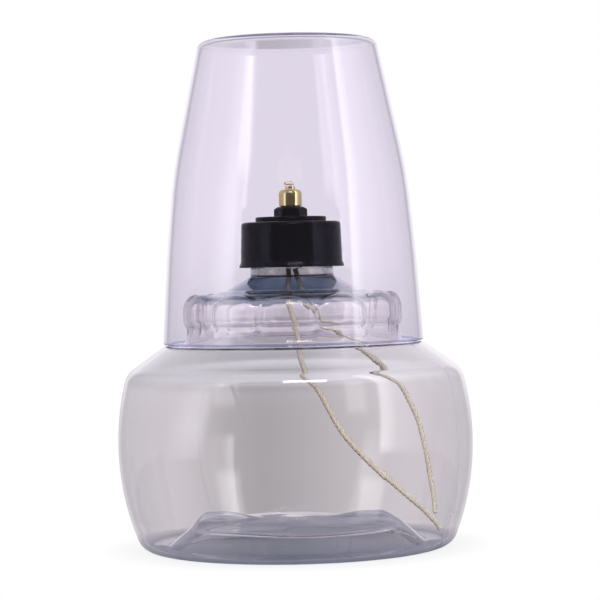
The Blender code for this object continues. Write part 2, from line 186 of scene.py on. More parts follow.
def thread_rings(outline, carries_thread):
    """The outline with points added where it carries a thread, so that the ridge is smooth."""
    points = [outline[0]]
    for a, b in zip(outline, outline[1:]):
        count = math.ceil(abs(b[1] - a[1]) / THREAD_RING_STEP) if carries_thread(a, b) else 1
        points += points_between(a, b, max(1, count))
    return points


def smooth_step(value, low, high):
    """A smooth step from 0 at low to 1 at high."""
    share = min(1.0, max(0.0, (value - low) / (high - low)))
    return share * share * (3 - 2 * share)


# Mesh building


def new_mesh_object(name, vertices, faces):
    mesh = bpy.data.meshes.new(name)
    mesh.from_pydata(vertices, [], faces)
    mesh.validate()
    mesh.update()
    obj = bpy.data.objects.new(name, mesh)
    bpy.context.scene.collection.objects.link(obj)
    return obj


def turned(name, outline, azimuths, shape=None, closed=False):
    """A piece turned round Z from an outline in mm.

    shape(azimuth, r, z, index) may move a point, where index is its place in the outline. An
    outline that isn't closed on itself starts and ends on the axis.
    """
    vertices, rings = [], []
    for index, (r, z) in enumerate(outline):
        if r < 1e-6:
            rings.append([len(vertices)] * len(azimuths))
            vertices.append((0.0, 0.0, z * MM))
            continue
        rings.append(list(range(len(vertices), len(vertices) + len(azimuths))))
        for azimuth in azimuths:
            pr, pz = shape(azimuth, r, z, index) if shape else (r, z)
            vertices.append((pr * math.cos(azimuth) * MM, pr * math.sin(azimuth) * MM, pz * MM))
    pairs = list(zip(rings, rings[1:]))
    if closed:
        pairs.append((rings[-1], rings[0]))
    faces = []
    for upper, lower in pairs:
        for i in range(len(azimuths)):
            j = (i + 1) % len(azimuths)
            corners = [upper[i], lower[i], lower[j], upper[j]]
            face = list(dict.fromkeys(corners))
            if len(face) > 2:
                faces.append(face)
    obj = new_mesh_object(name, vertices, faces)
    obj.data.shade_smooth()
    return obj


def even_azimuths(count, start=0.0):
    return [start + 2 * math.pi * i / count for i in range(count)]


def helix_height(azimuth, z, start_height, crest, width):
    """How far a right-hand thread ridge stands out of its wall at a point."""
    best = 0.0
    turn = azimuth % (2 * math.pi)
    while turn <= 2 * math.pi * THREAD_TURNS:
        away = abs(z - start_height - PITCH * turn / (2 * math.pi))
        if away < width:
            to_end = min(turn, 2 * math.pi * THREAD_TURNS - turn)
            fade = smooth_step(to_end, -0.2, 1.0)
            best = max(best, crest * fade * math.sqrt(1 - (away / width) ** 2))
        turn += 2 * math.pi
    return best


def dress(obj, material):
    obj.data.materials.clear()
    obj.data.materials.append(material)


def install(obj, material, node, body):
    """Dresses a piece and puts it on its body, in place of a CAD node."""
    dress(obj, material)
    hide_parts(node)
    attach(obj, body)


# Shader nodes

FIRST_COLOUR, SECOND_COLOUR, MIXED_COLOUR = 6, 7, 2  # sockets of a node that mixes colours


def node_material(name):
    material = bpy.data.materials.new(name)
    material.use_nodes = True
    tree = material.node_tree
    tree.nodes.clear()
    return material, tree


def add(tree, kind, **settings):
    """A new shader node, with some of its attributes set."""
    node = tree.nodes.new(kind)
    for key, value in settings.items():
        setattr(node, key, value)
    return node


def put(tree, socket, value):
    """Links or sets one input socket. A colour is given as (red, green, blue)."""
    if isinstance(value, bpy.types.NodeSocket):
        tree.links.new(value, socket)
    elif socket.type == "RGBA":
        socket.default_value = (*value, 1)
    else:
        socket.default_value = value


def math_node(tree, operation, *values):
    node = add(tree, "ShaderNodeMath", operation=operation)
    for socket, value in zip(node.inputs, values):
        put(tree, socket, value)
    return node.outputs[0]


def soft_step(tree, value, zero_at, one_at):
    """A smooth step from 0 to 1 between two values, whichever of them is the larger."""
    node = add(tree, "ShaderNodeMapRange", interpolation_type="SMOOTHSTEP")
    put(tree, node.inputs["Value"], value)
    put(tree, node.inputs["From Min"], zero_at)
    put(tree, node.inputs["From Max"], one_at)
    return node.outputs[0]


def window(tree, value, low, high, soft_low, soft_high):
    """1 between two limits and 0 outside them, with soft edges."""
    return math_node(
        tree, "MULTIPLY",
        soft_step(tree, value, low, low + soft_low),
        soft_step(tree, value, high, high - soft_high),
    )


def mix_colour(tree, share, a, b):
    """Colour a where share is 0, and b where it is 1."""
    node = add(tree, "ShaderNodeMix", data_type="RGBA")
    put(tree, node.inputs["Factor"], share)
    put(tree, node.inputs[FIRST_COLOUR], a)
    put(tree, node.inputs[SECOND_COLOUR], b)
    return node.outputs[MIXED_COLOUR]


def parts_of(tree, vector):
    """The x, y and z of a vector socket, as three sockets."""
    parts = add(tree, "ShaderNodeSeparateXYZ")
    tree.links.new(vector, parts.inputs[0])
    return parts.outputs


def place_mm(tree):
    """The x, y and z of a point on the object, in mm, as three sockets."""
    place = add(tree, "ShaderNodeTexCoord").outputs["Object"]
    return [math_node(tree, "DIVIDE", socket, MM) for socket in parts_of(tree, place)]


def noise_value(tree, scale, detail=2.0, roughness=0.5, stretch=(1, 1, 1)):
    """Noise over the object, stretched along its axes."""
    place = add(tree, "ShaderNodeTexCoord")
    mapping = add(tree, "ShaderNodeMapping")
    mapping.inputs["Scale"].default_value = stretch
    tree.links.new(place.outputs["Object"], mapping.inputs["Vector"])
    node = add(tree, "ShaderNodeTexNoise")
    tree.links.new(mapping.outputs[0], node.inputs["Vector"])
    node.inputs["Scale"].default_value = scale
    node.inputs["Detail"].default_value = detail
    node.inputs["Roughness"].default_value = roughness
    return node.outputs["Fac"]


def bumped(tree, height, strength, distance):
    """A surface normal that follows the height, for a shader's Normal."""
    node = add(tree, "ShaderNodeBump")
    node.inputs["Strength"].default_value = strength
    node.inputs["Distance"].default_value = distance
    tree.links.new(height, node.inputs["Height"])
    return node.outputs["Normal"]


def coloured(tree, kind, colour, **inputs):
    """A shader of a plain kind, such as Emission, with its colour and other inputs set."""
    shader = add(tree, kind)
    put(tree, shader.inputs["Color"], colour)
    for name, value in inputs.items():
        put(tree, shader.inputs[name], value)
    return shader


def mix_shaders(tree, share, a, b):
    """Shader a where share is 0, and b where it is 1."""
    node = add(tree, "ShaderNodeMixShader")
    put(tree, node.inputs[0], share)
    tree.links.new(a.outputs[0], node.inputs[1])
    tree.links.new(b.outputs[0], node.inputs[2])
    return node


def ray_is(tree, kind):
    """1 for rays of a kind, Camera or Shadow, and 0 for the others."""
    return add(tree, "ShaderNodeLightPath").outputs[f"Is {kind} Ray"]


def set_surface(tree, shader):
    """Makes a shader the surface, and returns the output node."""
    out = add(tree, "ShaderNodeOutputMaterial")
    tree.links.new(shader.outputs[0], out.inputs["Surface"])
    return out


# Materials. The shares below are worked out from places in mm

CLEAR_IOR = 1.52
CLEAR_SHADOW = (0.93, 0.92, 0.95)  # what a clear wall lets through to the things behind it
WAVES_SCALE, WAVES_STRETCH, WAVES_DEPTH = 55.0, (1, 1, 0.45), 0.0004

BOTTLE_TINT, BOTTLE_RIPPLE = (0.976, 0.96, 0.97), 0.06
COVER_TINT, COVER_RIPPLE = (0.965, 0.945, 0.99), 0.03
COVER_ABSORB = (0.004, 0.0055, 0.001)
# Painted shade, mixed into the bottle's colour on its cone and on its neck
CONE_PAINTED_SHADE, NECK_PAINTED_SHADE = (0.33, 0.395, 0.49), (0.42, 0.43, 0.42)
# Painted shade, mixed into the bottle's colour on its shoulder and on its push-up
SHOULDER_PAINTED_SHADE, PUSH_UP_PAINTED_SHADE = (0.86, 0.855, 0.865), (0.845, 0.835, 0.87)
# Painted light, mixed into the cover's colour at its bottom edge
RIM_PAINTED_LIGHT = (0.58, 0.60, 0.88)


def clear_material(name, tint, ripple, absorb=None, zones=()):
    """Clear moulded material. absorb is how much of red, green and blue a millimetre takes.

    Each zone is a colour that paints light and shade into the plastic, and a function that gives
    the share of that colour at a place.
    """
    material, tree = node_material(name)
    shader = add(tree, "ShaderNodeBsdfPrincipled")
    colour = tint
    for zone_colour, share_of in zones:
        colour = mix_colour(tree, share_of(tree), colour, zone_colour)
    put(tree, shader.inputs["Base Color"], colour)
    shader.inputs["Roughness"].default_value = 0.0
    shader.inputs["IOR"].default_value = CLEAR_IOR
    shader.inputs["Transmission Weight"].default_value = 1.0
    waves = noise_value(tree, WAVES_SCALE, 1.0, 0.4, WAVES_STRETCH)
    tree.links.new(bumped(tree, waves, ripple, WAVES_DEPTH), shader.inputs["Normal"])
    through = coloured(tree, "ShaderNodeBsdfTransparent", CLEAR_SHADOW)
    out = set_surface(tree, mix_shaders(tree, ray_is(tree, "Shadow"), shader, through))
    if absorb:
        densest = max(absorb)
        left = [1 - a / densest for a in absorb]
        volume = coloured(tree, "ShaderNodeVolumeAbsorption", left, Density=densest / MM)
        tree.links.new(volume.outputs[0], out.inputs["Volume"])
    return material


def cone_painted_shade_share(tree):
    """Painted shade on the thick plastic between the foot of the neck and the petals' tops: a
    slate-blue darkening of its upward-facing surfaces, weaker on the right.
    """
    x, _, z = place_mm(tree)
    normal = add(tree, "ShaderNodeNewGeometry").outputs["True Normal"]
    upward = math_node(tree, "ABSOLUTE", parts_of(tree, normal)[2])
    share = math_node(
        tree, "MULTIPLY",
        window(tree, z, 55.6, 61.6, 0.6, 0.3),
        soft_step(tree, upward, 0.66, 0.78),
    )
    weaker_on_right = math_node(tree, "MULTIPLY", soft_step(tree, x, 6.0, 11.0), 0.4)
    return math_node(tree, "MULTIPLY", share, math_node(tree, "SUBTRACT", 1.0, weaker_on_right))


def neck_painted_shade_share(tree):
    """Painted shade on the neck's wall, in streaks from top to bottom and palest on the right."""
    x, _, z = place_mm(tree)
    streaks = noise_value(tree, 420.0, 2.0, 0.6, (1, 1, 0.02))
    left = soft_step(tree, x, 4.0, -3.0)
    share = math_node(tree, "MULTIPLY_ADD", streaks, 0.5, 0.15)
    share = math_node(tree, "MULTIPLY_ADD", left, 0.25, share)
    return math_node(tree, "MULTIPLY", soft_step(tree, z, 61.0, 61.3), share)


def shoulder_painted_shade_share(tree):
    """Painted shade on the shoulder, greying its plastic most of all on the left."""
    x, _, z = place_mm(tree)
    left = soft_step(tree, x, 12.0, 2.0)
    share = math_node(tree, "MULTIPLY_ADD", left, 0.8, 0.2)
    return math_node(tree, "MULTIPLY", window(tree, z, 36.0, 46.5, 2.5, 0.5), share)


def push_up_painted_shade_share(tree):
    """Painted shade on the raised middle of the base, where the floor under it lies in shadow."""
    x, y, z = place_mm(tree)
    across = math_node(tree, "MULTIPLY", x, x)
    radius = math_node(tree, "SQRT", math_node(tree, "MULTIPLY_ADD", y, y, across))
    return math_node(
        tree, "MULTIPLY",
        soft_step(tree, z, 9.5, 8.5),
        soft_step(tree, radius, 33.5, 29.5),
    )


def rim_painted_light_share(tree):
    """Painted light at the cover's bottom edge: a blue-violet tint for the light that has
    travelled up and down its wall and comes out there.
    """
    _, _, z = place_mm(tree)
    rim = up_mm(COVER_LOW[2])
    return soft_step(tree, z, rim + 0.55, rim + 0.4)


def solid_material(name, colour, roughness, metallic=0.0, grain=0.15, stretch=(1, 1, 1),
                   shine=0.5, shine_tint=(1, 1, 1)):
    """An opaque material whose colour, roughness and surface vary finely."""
    colour_change, roughness_change = 0.06, 0.15
    patch_scale, grain_scale, grain_depth = 100.0, 400.0, 0.00005
    material, tree = node_material(name)
    shader = add(tree, "ShaderNodeBsdfPrincipled")
    patches = noise_value(tree, patch_scale, 3.0, 0.6, stretch)
    darker = [c * (1 - colour_change) for c in colour]
    lighter = [min(1.0, c * (1 + colour_change)) for c in colour]
    put(tree, shader.inputs["Base Color"], mix_colour(tree, patches, darker, lighter))
    rough = add(tree, "ShaderNodeMapRange")
    tree.links.new(patches, rough.inputs["Value"])
    rough.inputs["To Min"].default_value = roughness * (1 - roughness_change)
    rough.inputs["To Max"].default_value = roughness * (1 + roughness_change)
    tree.links.new(rough.outputs[0], shader.inputs["Roughness"])
    shader.inputs["Metallic"].default_value = metallic
    shader.inputs["Specular IOR Level"].default_value = shine
    put(tree, shader.inputs["Specular Tint"], shine_tint)
    fine = noise_value(tree, grain_scale, 4.0, 0.6, stretch)
    tree.links.new(bumped(tree, fine, grain, grain_depth), shader.inputs["Normal"])
    set_surface(tree, shader)
    return material


def cotton_material():
    """Unbleached cotton yarn: fine fibres wound round each ply, with soft sheen.

    The mesh's fibre attribute winds the fibres. The yarn that hangs in the bottle is painted
    darker, as painted shade.
    """
    material, tree = node_material("cotton_yarn")
    shader = add(tree, "ShaderNodeBsdfPrincipled")
    wound = add(tree, "ShaderNodeAttribute", attribute_name="fibre")
    strands = add(tree, "ShaderNodeTexNoise")
    tree.links.new(wound.outputs["Vector"], strands.inputs["Vector"])
    strands.inputs["Scale"].default_value = 1.0
    strands.inputs["Detail"].default_value = 4.0
    strands.inputs["Roughness"].default_value = 0.65
    strand = strands.outputs["Fac"]
    patches = noise_value(tree, 180.0, 2.0)
    light = mix_colour(tree, patches, (0.90, 0.85, 0.72), (0.95, 0.92, 0.83))
    bright = mix_colour(tree, strand, (0.70, 0.62, 0.46), light)
    # Painted shade: a darker copy of the yarn's colours for the yarn low in the bottle
    painted_shade_yarn = mix_colour(tree, strand, (0.47, 0.42, 0.31), (0.68, 0.63, 0.51))
    _, _, z = place_mm(tree)
    shade = mix_colour(tree, soft_step(tree, z, 50.0, 58.0), painted_shade_yarn, bright)
    put(tree, shader.inputs["Base Color"], shade)
    shader.inputs["Roughness"].default_value = 0.9
    shader.inputs["Sheen Weight"].default_value = 0.35
    shader.inputs["Subsurface Weight"].default_value = 0.12
    shader.inputs["Subsurface Radius"].default_value = (0.0006, 0.0005, 0.0004)
    tree.links.new(bumped(tree, strand, 0.5, 0.00006), shader.inputs["Normal"])
    set_surface(tree, shader)
    return material


# The clear bottle


def belly(z):
    """The outer radius of the bottle's side at a height."""
    return BELLY_RADIUS - BELLY_CURVE + math.sqrt(BELLY_CURVE**2 - (z - BELLY_HEIGHT) ** 2)


def bottle_corners():
    """The bottle's outside from the foot of the neck down to the middle of its base."""
    drop = SIDE_HIGH - SIDE_LOW
    side = [SIDE_HIGH - drop * i / SIDE_SPANS for i in range(SIDE_SPANS + 1)]
    return [
        (NECK_RADIUS, FINISH_HEIGHT - FINISH_SLOPE, 0.3),
        (NECK_RADIUS, NECK_FOOT, 0.9),
        (CONE_RADIUS, CONE_HEIGHT, 1.5),
        (CONE_FOOT_RADIUS, COLLAR_TOP + CONE_FOOT_RISE, 1.2),
        (COLLAR_RADIUS, COLLAR_TOP, COLLAR_CORNER),
        (COLLAR_RADIUS, CROWN_FOOT, 2.5),
        (WAIST_RADIUS, WAIST_TOP, 1.5),
        (WAIST_RADIUS, SEAT_HEIGHT, 2.4),
        (SEAT_RADIUS, SEAT_HEIGHT, SEAT_CORNER),
        (belly(SHOULDER_HEIGHT), SHOULDER_HEIGHT, SHOULDER_CORNER),
        *[(belly(z), z, 0) for z in side],
        (belly(0), 0.0, FOOT_CORNER),
        (PUSH_UP_FOOT, 0.0, 1.5),
        (PUSH_UP_EDGE, PUSH_UP_EDGE_HEIGHT, 1.6),
        (0.0, PUSH_UP_CENTRE, 0),
    ]


def petals(azimuth, r, z):
    """Sinks the collar's wall round its petals."""
    share = smooth_step(z, SEAT_HEIGHT + 0.6, CROWN_FOOT) * smooth_step(r, 15.0, 19.5)
    if share == 0:
        return r, z
    out = Vector((r, z)) - LOBE_CORE
    valley = abs(math.asin(math.sin(LOBES * (azimuth - VALLEY_AZIMUTH) / 2)))
    across = 1 - valley / (math.pi / 2)
    up = max(0.0, math.atan2(out.y, out.x)) / PETAL_TOP
    sink = VALLEY_DEPTH * share * smooth_step(across**2 + up**2, 0.45, 1.05)
    sunk = Vector((r, z)) - out.normalized() * sink
    return sunk.x, sunk.y


def seam_height(azimuth, r):
    """How far the mould seams stand out of the bottle's side."""
    total = 0.0
    for seam, height in zip(SEAM_AZIMUTHS, SEAM_HEIGHTS):
        away = abs((azimuth - seam + math.pi) % (2 * math.pi) - math.pi) * r
        total += height * math.exp(-((away / SEAM_WIDTH) ** 2)) * smooth_step(r, 22, 26)
    return total


def edge_height(azimuth, r):
    """The lumps and waves of the push-up's edge."""
    near_edge = smooth_step(r, 8, 19) * (1 - smooth_step(r, 23, 28))
    lumps = [
        height * math.exp(-(((azimuth - middle) / LUMP_SPREAD) ** 2))
        for middle, height in LUMPS
    ]
    waves = [height * math.sin(count * azimuth + start) for count, height, start in EDGE_WAVES]
    return (sum(lumps) + sum(waves)) * near_edge


def bottle_shape(outside_from):
    """The function that moves each point of the bottle's outline for its azimuth."""

    def shape(azimuth, r, z, index):
        if index >= outside_from and z < COLLAR_TOP:
            r += seam_height(azimuth, r)
        if z < PUSH_UP_TOP and r < PUSH_UP_FOOT:
            z += edge_height(azimuth, r)
        if z > FINISH_HEIGHT and r > NECK_OUTSIDE:
            r += helix_height(azimuth, z, THREAD_START, NECK_THREAD_CREST, NECK_THREAD_WIDTH)
        return petals(azimuth, r, z)

    return shape


def on_neck_thread(a, b):
    """Whether the bottle's outline carries the thread from point a to point b."""
    above = min(a[1], b[1]) > FINISH_HEIGHT - FINISH_SLOPE
    return above and min(a[0], b[0]) > NECK_OUTSIDE


def make_bottle(material):
    corners = bottle_corners()
    inner = moved_in(corners[1:], BOTTLE_WALL)
    inner[0] = (BORE_RADIUS, NECK_FOOT, 0.6)
    inner[-1] = (0.0, PUSH_UP_CENTRE + BOTTLE_WALL, 0)
    rim = up_mm(BOTTLE_HIGH[2])
    neck = [
        (BORE_RADIUS, rim, 0.3),
        (THREAD_WALL_RADIUS, rim, 0.35),
        (THREAD_WALL_RADIUS, FINISH_HEIGHT, 0.3),
    ]
    inside = rounded(inner[::-1] + [neck[0]])[:-1]
    outside = rounded([inner[0], *neck, *corners])[1:]
    outline = spread(inside, BOTTLE_SPAN) + spread(outside, BOTTLE_SPAN)
    outline = thread_rings(outline, on_neck_thread)
    outside_from = next(i for i, point in enumerate(outline) if point[1] >= rim - 0.05)
    azimuths = even_azimuths(288, VALLEY_AZIMUTH)
    for seam in SEAM_AZIMUTHS:
        azimuths += [seam + i * SEAM_STEP for i in range(-SEAM_STEPS, SEAM_STEPS + 1)]
    azimuths = sorted(a % (2 * math.pi) for a in azimuths)
    bottle = turned("bottle_shell", outline, azimuths, bottle_shape(outside_from))
    install(bottle, material, "fuel_bottle", "bottle")


# The clear cover


def make_cover(material):
    top, rim = up_mm(COVER_HIGH[2]), up_mm(COVER_LOW[2])
    rim_radius = COVER_HIGH[0] / MM
    outer = [
        (0.0, top, 0),
        (COVER_TOP_RADIUS, top, COVER_TOP_CORNER),
        *COVER_BENDS,
        (rim_radius, rim, COVER_RIM_CORNER),
    ]
    inner = moved_in(outer, COVER_WALL)
    inner[0] = (0.0, top - COVER_WALL, 0)
    inner[-1] = (rim_radius - COVER_WALL, rim, COVER_RIM_CORNER)
    down = rounded([*outer, inner[-1]], COVER_ARC_STEP)[:-1]
    back_up = rounded([outer[-1], inner[-1], *inner[-2::-1]], COVER_ARC_STEP)[1:]
    cover = turned("cover_shell", spread(down + back_up, COVER_SPAN), even_azimuths(256))
    install(cover, material, "snuffer_cover", "cover")


# The cap and its fittings


def on_cap_bore(r):
    return abs(r - CAP_BORE) < 0.05


def on_cap_thread(a, b):
    """Whether the cap's outline carries the thread from point a to point b."""
    return on_cap_bore(a[0]) and on_cap_bore(b[0])


def make_cap(material):
    low, high = up_mm(CAP_LOW[2]), up_mm(CAP_HIGH[2])
    flange = CAP_HIGH[0] / MM
    under_plate = high - CAP_PLATE
    corners = [
        (TUBE_HOLE, high - 0.5, 0),
        (TUBE_HOLE, high, 0.15),
        (flange - 0.63, high, 0.75),
        (flange - 0.35, low + 1.2, 1.2),
        (flange, low + 0.45, 0.2),
        (flange, low, 0.15),
        (CAP_BORE + 0.2, low, 0.1),
        (CAP_BORE, low + 0.3, 0.1),
        (CAP_BORE, under_plate, 0.2),
        (TUBE_HOLE, under_plate, 0),
    ]
    outline = thread_rings(spread(rounded(corners, 9 * DEGREE), CAP_SPAN), on_cap_thread)

    def shape(azimuth, r, z, index):
        if on_cap_bore(r) and z < under_plate - 0.3:
            start = THREAD_START + PITCH / 2
            r -= helix_height(azimuth, z, start, CAP_THREAD_CREST, CAP_THREAD_WIDTH)
        return r, z

    cap = turned("cap_shell", outline, even_azimuths(180), shape, closed=True)
    install(cap, material, "screw_cap", "head")


def make_disc(material):
    low, high = up_mm(DISC_LOW[2]), up_mm(DISC_HIGH[2])
    radius = DISC_HIGH[0] / MM
    corners = [
        (TUBE_HOLE, (low + high) / 2, 0),
        (TUBE_HOLE, high, 0.1),
        (radius, high, 0.3),
        (radius, low, 0.15),
        (TUBE_HOLE, low, 0),
    ]
    disc = turned("cap_disc", rounded(corners, 15 * DEGREE), even_azimuths(128), closed=True)
    install(disc, material, "clamp_disc", "head")


def make_tube(material):
    """The brass tube: a rounded head with a nozzle, and a plain shank."""
    low, high = up_mm(TUBE_LOW[2]), up_mm(TUBE_HIGH[2])
    head = TUBE_HIGH[0] / MM
    head_foot = up_mm(NUT_HIGH[2]) + 0.15
    shank, bore, nozzle = 2.2, 0.9, 1.12
    shoulder = high - 0.65
    corners = [
        (bore, high - 0.4, 0),
        (bore + 0.05, high, 0.06),
        (nozzle, high, 0.12),
        (nozzle + 0.05, shoulder, 0.15),
        (head, shoulder, 1.05),
        (head, head_foot, 0.15),
        (shank, head_foot, 0),
        (shank, low, 0.3),
        (bore, low, 0),
    ]
    tube = turned("brass_tube", rounded(corners, 8 * DEGREE), even_azimuths(128), closed=True)
    install(tube, material, "wick_tube", "head")


def make_nut(material):
    """The hex gland nut on top of the disc, chamfered towards the tube."""
    low, high = up_mm(NUT_LOW[2]), up_mm(NUT_HIGH[2])
    corner_radius = NUT_HIGH[0] / MM
    flats = corner_radius * math.cos(math.pi / 6)
    blunted = corner_radius * 0.992
    face, chamfer, spans = 2.9, 33 * DEGREE, 16

    def shape(azimuth, r, z, index):
        if r <= face:
            return r, z
        sector = azimuth % (math.pi / 3) - math.pi / 6
        reach = min(flats / math.cos(sector), blunted)
        cone = face + (high - z) / math.tan(chamfer)
        return min(r, reach, cone), z

    heights = [high - (high - low) * i / spans for i in range(1, spans + 1)]
    outline = [(TUBE_HOLE, high - 0.8), (TUBE_HOLE + 0.1, high), (face, high)]
    outline += [(corner_radius + 1, z) for z in heights]
    outline += [(face, low), (TUBE_HOLE, low)]
    nut = turned("gland_nut", outline, even_azimuths(240), shape, closed=True)
    nut.data.set_sharp_from_angle(angle=35 * DEGREE)
    install(nut, material, "top_nut", "head")


# The wick, in mm. Each way is the path of a cord from below the neck to the bottle's floor

FRONT_WAY = (
    (-0.8, -0.5, 55.6), (0.6, -1.2, 49.7), (1.8, -2.0, 41.7), (5.2, -2.8, 35.4),
    (13.0, -3.0, 22.7), (23.8, -2.5, 12.3), (31.1, -1.5, 5.2), (32.6, -1.0, 3.0),
)
REAR_WAY = (
    (2.4, 0.8, 57.0), (5.8, 2.2, 52.2), (14.0, 5.0, 45.2), (19.0, 7.5, 41.0), (24.4, 10.5, 35.7),
    (28.5, 12.5, 27.1), (30.7, 12.0, 18.2), (32.0, 10.5, 8.5), (32.2, 9.5, 5.6),
)
CORD_OFFSET, CORD_PARTING = 0.43, 1.6  # from the tube's axis to a cord, and its growth below
CORD_STEP = 0.22  # between the points of a cord's path
TUBE_POINTS = (74.0, 67.6)  # a height in the tube, and the height of its foot

# Under the tube a cord stays straight and squeezed to the first height, and swells by the second
SQUEEZED_TO, SWOLLEN_AT = 64.2, 63.0
PLIES, PLY_RADIUS, PLY_OFFSET, PLY_TWIST = 3, 0.34, 0.31, 3.4  # one turn of twist is 3.4 mm
SQUEEZED_SIZE, FREE_GROWTH = 0.55, 0.40  # a ply's size, and what it gains when it is free
SLUB_GROWTH, SLUB_LENGTH = 0.35, 0.012  # a share of the size, and of the cord's length
PLY_UNEVENNESS, CORD_SWAY = 0.10, 0.28
PLY_SIDES, FIBRE_WIND = 10, 2.2
LOOSE_HAIRS, HAIR_RADII, HAIR_SIDES = 260, (0.016, 0.014, 0.012, 0.006), 4
TIP_HAIRS, TIP_HAIR_RADII, TIP_HAIR_SIDES = 90, (0.2, 0.2, 0.18, 0.1), 6
TIP_LEAN = Vector((-0.4, 0, 0))
HAIR_SHARES = (0.0, 0.35, 0.7, 1.0)  # places along a hair that have a ring of points


def through(points, spacing):
    """Evenly spaced points, about this far apart, on a smooth line through the given ones."""
    padded = [points[0], *points, points[-1]]
    line = []
    for a, b, c, d in zip(padded, padded[1:], padded[2:], padded[3:]):
        a, b, c, d = Vector(a), Vector(b), Vector(c), Vector(d)
        count = max(2, math.ceil((c - b).length / spacing))
        for i in range(count):
            t = i / count
            line.append((2 * b + (c - a) * t + (2 * a - 5 * b + 4 * c - d) * t**2
                         + (3 * b - a - 3 * c + d) * t**3) / 2)
    return [*line, Vector(points[-1])]


class Yarn:
    """The growing mesh of a cord, made of closed tubes with fibre coordinates."""

    def __init__(self):
        self.vertices, self.faces, self.fibres = [], [], []

    def add_tube(self, centres, radii, sides, wind):
        """Adds a closed tube along centres. Its fibre coordinates wind round it."""
        start = len(self.vertices)
        side = Vector((1, 0, 0))
        run = 0.0
        for i, centre in enumerate(centres):
            ahead = centres[min(i + 1, len(centres) - 1)]
            behind = centres[max(i - 1, 0)]
            way = (ahead - behind).normalized()
            side = (side - way * side.dot(way)).normalized()
            other = way.cross(side)
            if i:
                run += (centre - centres[i - 1]).length
            for j in range(sides):
                turn = 2 * math.pi * j / sides
                out = side * math.cos(turn) + other * math.sin(turn)
                self.vertices.append((centre + out * radii[i]) * MM)
                twist = turn + run * wind
                self.fibres.append((math.cos(twist) * 5.0, math.sin(twist) * 5.0, run * 0.5))
        for i in range(len(centres) - 1):
            for j in range(sides):
                a = start + i * sides + j
                b = start + i * sides + (j + 1) % sides
                self.faces.append((a, b, b + sides, a + sides))
        self.faces.append(tuple(start + j for j in reversed(range(sides))))
        last = start + (len(centres) - 1) * sides
        self.faces.append(tuple(last + j for j in range(sides)))


def frames_along(line):
    """Two directions across the line at each of its points, without twist."""
    frames = []
    across = Vector((1, 0, 0))
    for i in range(len(line)):
        heading = (line[min(i + 1, len(line) - 1)] - line[max(i - 1, 0)]).normalized()
        across = (across - heading * across.dot(heading)).normalized()
        frames.append((across.copy(), heading.cross(across)))
    return frames


def sway_at(run, height, seed):
    """How far the cord wanders from its path, this far along it. In the neck it stays put."""
    loose = CORD_SWAY * smooth_step(SWOLLEN_AT - height, 2.0, 8.0)
    return Vector((noise.noise(Vector((run * 0.16, seed, 0.5))),
                   0.3 * noise.noise(Vector((run * 0.16, seed, 9.5))),
                   noise.noise(Vector((run * 0.16, seed, 4.5))))) * loose


def add_plies(yarn, line, frames, slub, seed):
    """Twists the plies round the line. They are squeezed in and near the tube, and then swell."""
    tube_top = up_mm(TUBE_HIGH[2])
    run = [0.0]
    for a, b in zip(line, line[1:]):
        run.append(run[-1] + (b - a).length)
    for ply in range(PLIES):
        centres, radii = [], []
        for i, centre in enumerate(line):
            free = max(smooth_step(SQUEEZED_TO - centre.z, 0.0, 1.4),
                       smooth_step(centre.z - tube_top, 0.2, 0.75))
            squeeze = SQUEEZED_SIZE + FREE_GROWTH * free
            from_slub = (run[i] / run[-1] - slub) / SLUB_LENGTH
            lump = 1 + SLUB_GROWTH * math.exp(-(from_slub**2))
            grain = noise.noise(Vector((run[i] * 0.4, ply * 7.0, seed)))
            size = squeeze * lump * (1 + PLY_UNEVENNESS * grain)
            turn = 2 * math.pi * ply / PLIES + run[i] * 2 * math.pi / PLY_TWIST
            u, v = frames[i]
            out = (u * math.cos(turn) + v * math.sin(turn)) * PLY_OFFSET * size
            centres.append(centre + sway_at(run[i], centre.z, seed) + out)
            radii.append(PLY_RADIUS * size)
        radii[-1] *= 0.5
        yarn.add_tube(centres, radii, PLY_SIDES, FIBRE_WIND)


def add_loose_hairs(yarn, line, frames, rng):
    """Fine fibres that stand off the cord. There are none where the tube would cut them."""
    hairy_below = up_mm(TUBE_LOW[2]) - 3.6
    first = next(i for i, centre in enumerate(line) if centre.z < hairy_below)
    for _ in range(LOOSE_HAIRS):
        i = rng.randrange(first, len(line) - 4)
        u, v = frames[i]
        turn = rng.uniform(0, 2 * math.pi)
        out = u * math.cos(turn) + v * math.sin(turn)
        heading = (line[i + 2] - line[i - 2]).normalized()
        lean = heading * rng.uniform(-1.0, 1.0) + out * rng.uniform(0.25, 0.8)
        length = rng.uniform(0.25, 0.85)
        base = line[i] + out * 0.55
        hair = [base + lean * length * t + out.cross(heading) * 0.25 * length * t * t
                for t in HAIR_SHARES]
        yarn.add_tube(hair, HAIR_RADII, HAIR_SIDES, 0)


def add_tip_hairs(yarn, top, rng):
    """Thick fibres that fray out of the nozzle and lean to the left."""
    for _ in range(TIP_HAIRS):
        turn = rng.uniform(0, 2 * math.pi)
        out = Vector((math.cos(turn), math.sin(turn), 0))
        lean = Vector((0, 0, 1)) * rng.uniform(0.05, 0.7) + out * rng.uniform(0.05, 0.45)
        lean += TIP_LEAN
        base = top + out * rng.uniform(0.0, 0.3)
        yarn.add_tube([base + lean * t for t in HAIR_SHARES], TIP_HAIR_RADII, TIP_HAIR_SIDES, 0)


